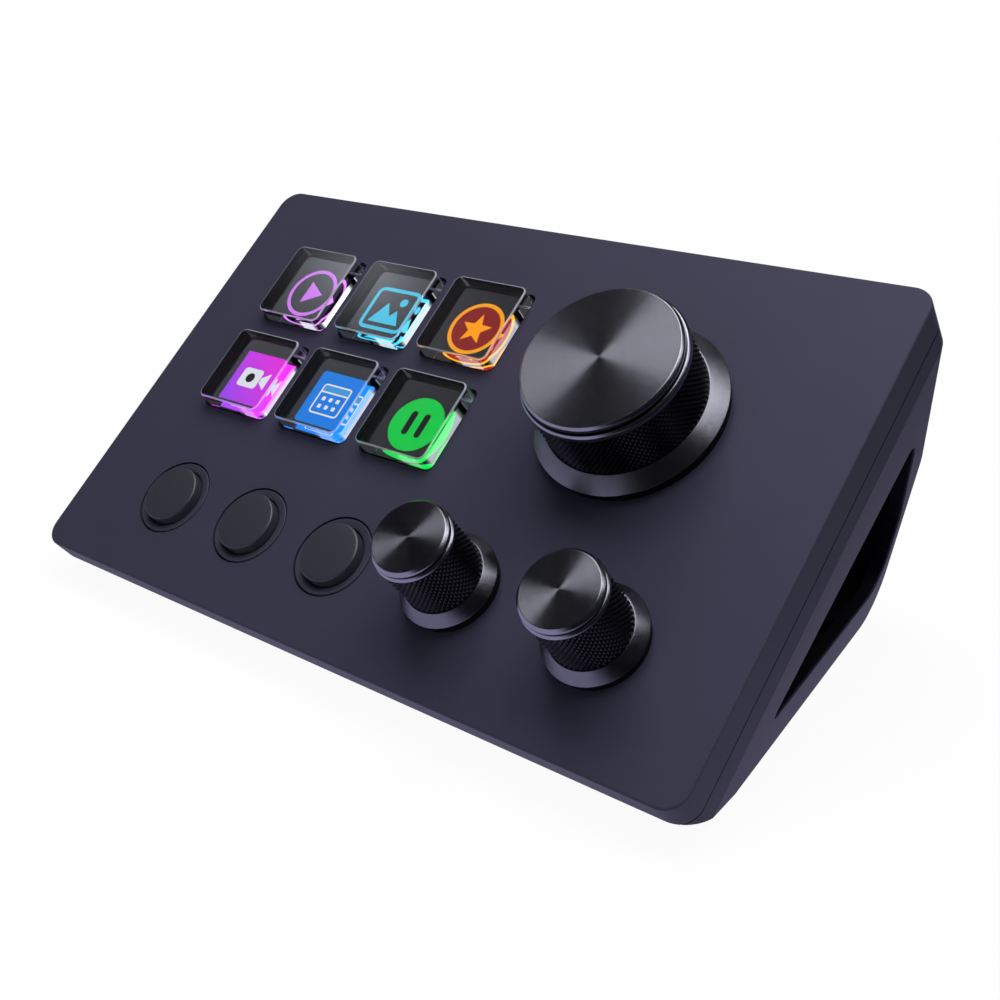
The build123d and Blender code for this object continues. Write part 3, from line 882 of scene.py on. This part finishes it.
# Each ring is a pitch in mm and its share of the lean
metalSettings = {
    "face": {
        "colour": (104, 104, 113),
        "lean": 0.27,
        "rings": ((0.047, 1.0), (0.031, 0.8), (0.0213, 0.7)),
        "rough": 0.22,
        "wear": 0.9,
    },
    "edge": {
        "colour": (142, 142, 152),
        "lean": 0.06,
        "rings": ((0.041, 1.0), (0.027, 0.7)),
        "rough": 0.2,
        "wear": 0.9,
    },
    "skirt": {
        "colour": (112, 112, 121),
        "lean": 0.1,
        "rings": ((0.043, 1.0), (0.029, 0.7)),
        "rough": 0.24,
        "wear": 1.2,
    },
}
wearSettings = {"dim": 0.8, "roughSpread": 0.06}


def turnedMetal(name, middle, settings):
    # Fine rings cut on a lathe: the normal leans along the tool's path from ring to ring
    material, graph = newPaint(name)
    place = objectPlace(graph)
    normal = graph.node("ShaderNodeTexCoord", output="Normal")
    hub = onPanel(middle).translation
    away = graph.vector("SUBTRACT", place, tuple(hub))
    along = graph.vector("NORMALIZE", graph.vector("CROSS_PRODUCT", tuple(panelNormal), away))
    across = graph.vector("CROSS_PRODUCT", along, normal)
    track = graph.vector("DOT_PRODUCT", away, across, output="Value")
    lean = 0
    for pitch, share in settings["rings"]:
        ring = graph.math("SINE", track * (2 * math.pi / (pitch * mm)))
        lean = ring * (settings["lean"] * share) + lean
    leaning = graph.vector("NORMALIZE", graph.vector("ADD", normal, graph.scaled(across, lean)))
    outward = graph.node(
        "ShaderNodeVectorTransform",
        {"vector_type": "NORMAL", "convert_from": "OBJECT", "convert_to": "WORLD"},
        {"Vector": leaning},
    )
    worn = grain(graph, settings["wear"], grainSettings["slowDetail"])
    colour = ink(*settings["colour"])
    coverWith(
        graph,
        {"Metallic": 1.0},
        {
            "Base Color": graph.mix(worn, toned(colour, wearSettings["dim"]), colour),
            "Roughness": spreadRound(graph, settings["rough"], worn, wearSettings["roughSpread"]),
            "Normal": outward,
        },
    )
    return material


knurlSettings = {
    "dark": (30, 30, 33),
    "light": (52, 52, 56),
    "rough": 0.34,
    "wear": 0.25,
    "pitch": 0.86,
    "aspect": 1.15,
    "depth": 0.3,
    "sink": 0.05,
}


def knurlMetal():
    dark, light = ink(*knurlSettings["dark"]), ink(*knurlSettings["light"])
    return roughMetal("blackKnurl", dark, light, knurlSettings["rough"], knurlSettings["wear"])


blackKnurl = knurlMetal()


def knurlTree(name):
    # Four-sided points in staggered rows, set round the grip. Returns the tree and its inputs
    tree = bpy.data.node_groups.new(name, "GeometryNodeTree")
    tree.interface.new_socket("Geometry", in_out="OUTPUT", socket_type="NodeSocketGeometry")
    kinds = dict.fromkeys(("Radius", "Bottom", "Width", "Height", "Depth"), "NodeSocketFloat")
    kinds.update(dict.fromkeys(("Columns", "Rows"), "NodeSocketInt"))
    sockets = {}
    for label, kind in kinds.items():
        sockets[label] = tree.interface.new_socket(label, in_out="INPUT", socket_type=kind)
    graph = Graph(tree)
    entry = tree.nodes.new("NodeGroupInput")
    ask = {label: Wire(graph, entry.outputs[label]) for label in sockets}
    count = ask["Columns"] * ask["Rows"]
    points = graph.node("GeometryNodePoints", {}, {"Count": count})
    index = graph.node("GeometryNodeInputIndex")
    row = graph.math("FLOOR", (index + 0.5) / ask["Columns"])
    column = index - row * ask["Columns"]
    stagger = graph.math("MODULO", row, 2.0) * 0.5
    angle = (column + stagger) * (2 * math.pi) / ask["Columns"]
    x = graph.math("COSINE", angle) * ask["Radius"]
    y = graph.math("SINE", angle) * ask["Radius"]
    z = ask["Bottom"] + row * ask["Height"] * 0.5
    spot = graph.node("ShaderNodeCombineXYZ", {}, {"X": x, "Y": y, "Z": z})
    placed = graph.node("GeometryNodeSetPosition", {}, {"Geometry": points, "Position": spot})
    point = {"Vertices": 4, "Radius Top": 0.0, "Radius Bottom": 1.0, "Depth": 1.0}
    cone = graph.node("GeometryNodeMeshCone", {"fill_type": "NONE"}, point)
    laid = {"Geometry": cone, "Rotation": (0.0, math.pi / 2, 0.0)}
    lying = graph.node("GeometryNodeTransform", {}, laid)
    turn = graph.node("ShaderNodeCombineXYZ", {}, {"X": 0.0, "Y": 0.0, "Z": angle})
    halves = {"X": ask["Depth"], "Y": ask["Width"] * 0.5, "Z": ask["Height"] * 0.5}
    size = graph.node("ShaderNodeCombineXYZ", {}, halves)
    spread = graph.node(
        "GeometryNodeInstanceOnPoints",
        {},
        {"Points": placed, "Instance": lying, "Rotation": turn, "Scale": size},
    )
    real = graph.node("GeometryNodeRealizeInstances", {}, {"Geometry": spread})
    coloured = graph.node("GeometryNodeSetMaterial", {}, {"Geometry": real, "Material": blackKnurl})
    leave = tree.nodes.new("NodeGroupOutput")
    tree.links.new(coloured.socket, leave.inputs[0])
    return tree, sockets


def diamondKnurl(name, radius, bottom, top, middle, body, node):
    tree, sockets = knurlTree(name)
    columns = round(2 * math.pi * radius / knurlSettings["pitch"])
    width = 2 * math.pi * radius / columns
    rows = 2 * round((top - bottom) / (width * knurlSettings["aspect"]))
    height = 2 * (top - bottom) / rows
    values = {
        "Radius": (radius - knurlSettings["depth"]) * mm,
        "Bottom": (bottom + height / 4) * mm,
        "Width": width * mm,
        "Height": height * mm,
        "Depth": knurlSettings["depth"] * mm,
        "Columns": columns,
        "Rows": rows,
    }
    holder = addObject(name, bpy.data.meshes.new(name))
    modifier = holder.modifiers.new(name, "NODES")
    modifier.node_group = tree
    for label, value in values.items():
        modifier[sockets[label].identifier] = value
    evaluated = holder.evaluated_get(bpy.context.evaluated_depsgraph_get())
    mesh = bpy.data.meshes.new_from_object(evaluated)
    holder.modifiers.clear()
    holder.data = mesh
    mesh.transform(onPanel(middle))
    mesh.shade_flat()
    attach(holder, body)
    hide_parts(node)


def makeKnob(side):
    body = f"{side}_knob"
    cap, grip, skirt = f"{side}_knob_cap", f"{side}_knob_grip", f"{side}_knob_skirt"
    capLow, capHigh = panelBox(cap)
    gripLow, gripHigh = panelBox(grip)
    skirtLow, skirtHigh = panelBox(skirt)
    middle = middleOf(skirt)
    place = onPanel(middle)
    soft, rounder, steps = knobSettings["soft"], knobSettings["rounder"], knobSettings["steps"]
    capRadius = (capHigh.x - capLow.x) / 2 / mm
    capTop = capHigh.z / mm
    gripRadius = (gripHigh.x - gripLow.x) / 2 / mm
    bandTop = gripHigh.z / mm
    gripTop = bandTop - knobSettings["bandHeight"][side]
    capBottom = bandTop + knobSettings["capGap"]
    skirtRadius = (skirtHigh.x - skirtLow.x) / 2 / mm
    foot, skirtTop = skirtLow.z / mm, skirtHigh.z / mm

    face = turnedMetal(f"{side}FaceMetal", middle, metalSettings["face"])
    edge = turnedMetal(f"{side}EdgeMetal", middle, metalSettings["edge"])
    flare = turnedMetal(f"{side}SkirtMetal", middle, metalSettings["skirt"])

    def turnedPiece(name, line, paint, node, closed=False):
        finished(f"{side}{name}", lathe(line, steps, closed), place, paint, body, node)

    # The cap: its face, the rim round it, and the neck that holds it over the grip
    bevel = knobSettings["bevel"][side]
    faceRadius = capRadius - bevel - soft
    faceBottom = capTop - knobSettings["faceDepth"]
    disc = [(0, capTop), (faceRadius, capTop), (faceRadius, faceBottom), (0, faceBottom)]
    turnedPiece("KnobFace", disc, face, cap)
    neck = capRadius - knobSettings["capWall"]
    rim = [
        (faceRadius, faceBottom),
        (faceRadius, capTop),
        (capRadius - bevel, capTop, soft * rounder["face"]),
        (capRadius, capTop - bevel, soft * rounder["rim"]),
        (capRadius, capBottom, soft * rounder["foot"]),
        (neck, capBottom),
        (neck, faceBottom),
    ]
    turnedPiece("KnobRim", rim, edge, cap, closed=True)
    neckTop = capBottom + knobSettings["neckLap"]
    neckBottom = bandTop - knobSettings["neckLap"]
    core = [(0, neckTop), (neck, neckTop), (neck, neckBottom), (0, neckBottom)]
    turnedPiece("KnobNeck", core, blackKnurl, cap)

    # The grip: its bright band, and the knurl on a plain drum
    bandBevel = knobSettings["bandBevel"]
    band = [
        (0, gripTop),
        (gripRadius, gripTop, soft),
        (gripRadius, bandTop - bandBevel, soft * rounder["rim"]),
        (gripRadius - bandBevel, bandTop, soft),
        (0, bandTop),
    ]
    turnedPiece("KnobBand", band, edge, grip)
    drumRadius = gripRadius - knobSettings["drumInset"]
    drumBottom = skirtTop - knobSettings["drumLap"]
    drum = [(0, drumBottom), (drumRadius, drumBottom), (drumRadius, gripTop), (0, gripTop)]
    turnedPiece("KnobDrum", drum, blackKnurl, grip)
    tipRadius = gripRadius - knurlSettings["sink"]
    diamondKnurl(f"{side}KnobKnurl", tipRadius, skirtTop, gripTop, middle, body, grip)

    bore = gripRadius * knobSettings["skirtBore"]
    cone = [
        (bore, foot),
        (skirtRadius, foot, soft),
        (skirtRadius, foot + knobSettings["skirtLip"], soft * rounder["foot"]),
        (gripRadius, skirtTop, soft),
        (bore, skirtTop),
    ]
    turnedPiece("KnobSkirt", cone, flare, skirt, closed=True)


for side in ("big", "left", "right"):
    makeKnob(side)
print("knobs made")


# Floor, lights and world, in metres

studioSettings = {
    "floor": (240, 240, 242),
    "floorHalf": 4,
    "nearGlow": 0.95,
    "glowReach": (0.12, 0.5),
    "floorSheen": {"from": 0.05, "to": 0.1, "tint": (222, 216, 255)},
    "fill": 0.18,
    "ceiling": 0.03,
    "horizon": {"height": 0.2, "side": 0.3, "strength": 0.9},
    "haze": {"towards": (-0.69, -0.085, 0.718), "width": 0.04, "strength": 1.6},
    "glow": {"towards": (-0.73, -0.09, 0.68), "width": 0.207, "strength": 1.15},
    "tint": (238, 242, 255),
    "stripLight": {
        "place": (-0.18, 0.09, 0.63),
        "turn": 7.8,
        "size": (0.185, 0.533),
        "power": 1.63,
    },
    "wideLight": {
        "place": (0.2, 0.04, 0.63),
        "turn": 0,
        "size": (0.6, 0.5),
        "power": 3.2,
    },
}


def rayKinds(graph):
    # Whether the camera, a mirror or a clear piece is looking
    path = graph.node("ShaderNodeLightPath")
    return path.pick("Is Camera Ray"), path.pick("Is Glossy Ray"), path.pick("Is Transmission Ray")


def makeFloor():
    # White to the camera, with the shadow kept near the object. Metal and clear pieces see it white
    # on the left only, and only diffuse light finds plain matt floor
    half = studioSettings["floorHalf"]
    build = bmesh.new()
    for x, y in ((-half, -half), (half, -half), (half, half), (-half, half)):
        build.verts.new((x, y, 0))
    build.faces.new(build.verts)
    mesh = bpy.data.meshes.new("floor")
    build.to_mesh(mesh)
    build.free()
    material, graph = newPaint("floorPaint")
    seen, mirrored, through = rayKinds(graph)
    place = objectPlace(graph)
    start, end = studioSettings["glowReach"]
    far = graph.clamp((graph.vector("LENGTH", place, output="Value") - start) / (end - start))
    near = studioSettings["nearGlow"]
    sheen = studioSettings["floorSheen"]
    across = graph.node("ShaderNodeSeparateXYZ", {}, {"Vector": place})
    right = graph.clamp((across - sheen["from"]) / (sheen["to"] - sheen["from"]))
    strength = 1.0 - (1.0 - seen) * right
    pale = graph.mix(seen, ink(*sheen["tint"]), white)
    glow = graph.node("ShaderNodeEmission", {}, {"Color": pale, "Strength": strength})
    matt = graph.node("ShaderNodeBsdfDiffuse", {}, {"Color": ink(*studioSettings["floor"])})
    shown = graph.clamp(seen * (near + far * (1 - near)) + graph.clamp(mirrored + through))
    both = graph.node("ShaderNodeMixShader", {}, {0: shown, 1: matt, 2: glow})
    graph.node("ShaderNodeOutputMaterial", {}, {"Surface": both})
    mesh.materials.append(material)
    floor = addObject("floor", mesh)


def makeLight(name):
    settings = studioSettings[name]
    data = bpy.data.lights.new(name, "AREA")
    data.shape = "RECTANGLE"
    data.size, data.size_y = settings["size"]
    data.energy = settings["power"]
    light = addObject(name, data)
    light.location = settings["place"]
    light.rotation_euler.z = math.radians(settings["turn"])
    light.visible_transmission = False


def makeWorld():
    # White behind the object. Metal mirrors a dim ceiling, white low down on the left and a small
    # haze; clear pieces show a soft glow from the left
    world = bpy.data.worlds.new("studio")
    world.use_nodes = True
    world.node_tree.nodes.clear()
    graph = Graph(world.node_tree)
    seen, mirrored, through = rayKinds(graph)
    way = graph.node("ShaderNodeTexCoord", output="Generated")
    parts = graph.node("ShaderNodeSeparateXYZ", {}, {"Vector": way})

    def spot(name):
        settings = studioSettings[name]
        towards = Vector(settings["towards"]).normalized()
        away = graph.vector("DISTANCE", way, tuple(towards), output="Value") / settings["width"]
        return graph.math("EXPONENT", away * away * -1.0) * settings["strength"]

    horizon = studioSettings["horizon"]
    low = graph.clamp((horizon["height"] - parts.pick("Z")) / horizon["height"])
    left = graph.clamp((horizon["side"] - parts.pick("X")) / horizon["side"])
    below = low * left * horizon["strength"] + studioSettings["ceiling"]
    plain = graph.clamp(1.0 - seen - mirrored - through) * studioSettings["fill"]
    strength = seen + mirrored * (below + spot("haze")) + through * (below + spot("glow")) + plain
    colour = graph.mix(seen, ink(*studioSettings["tint"]), white)
    sky = graph.node("ShaderNodeBackground", {}, {"Color": colour, "Strength": strength})
    graph.node("ShaderNodeOutputWorld", {}, {"Surface": sky})
    bpy.context.scene.world = world


makeFloor()
makeLight("stripLight")
makeLight("wideLight")
makeWorld()
bpy.context.scene.view_settings.view_transform = "Standard"
print("studio ready")
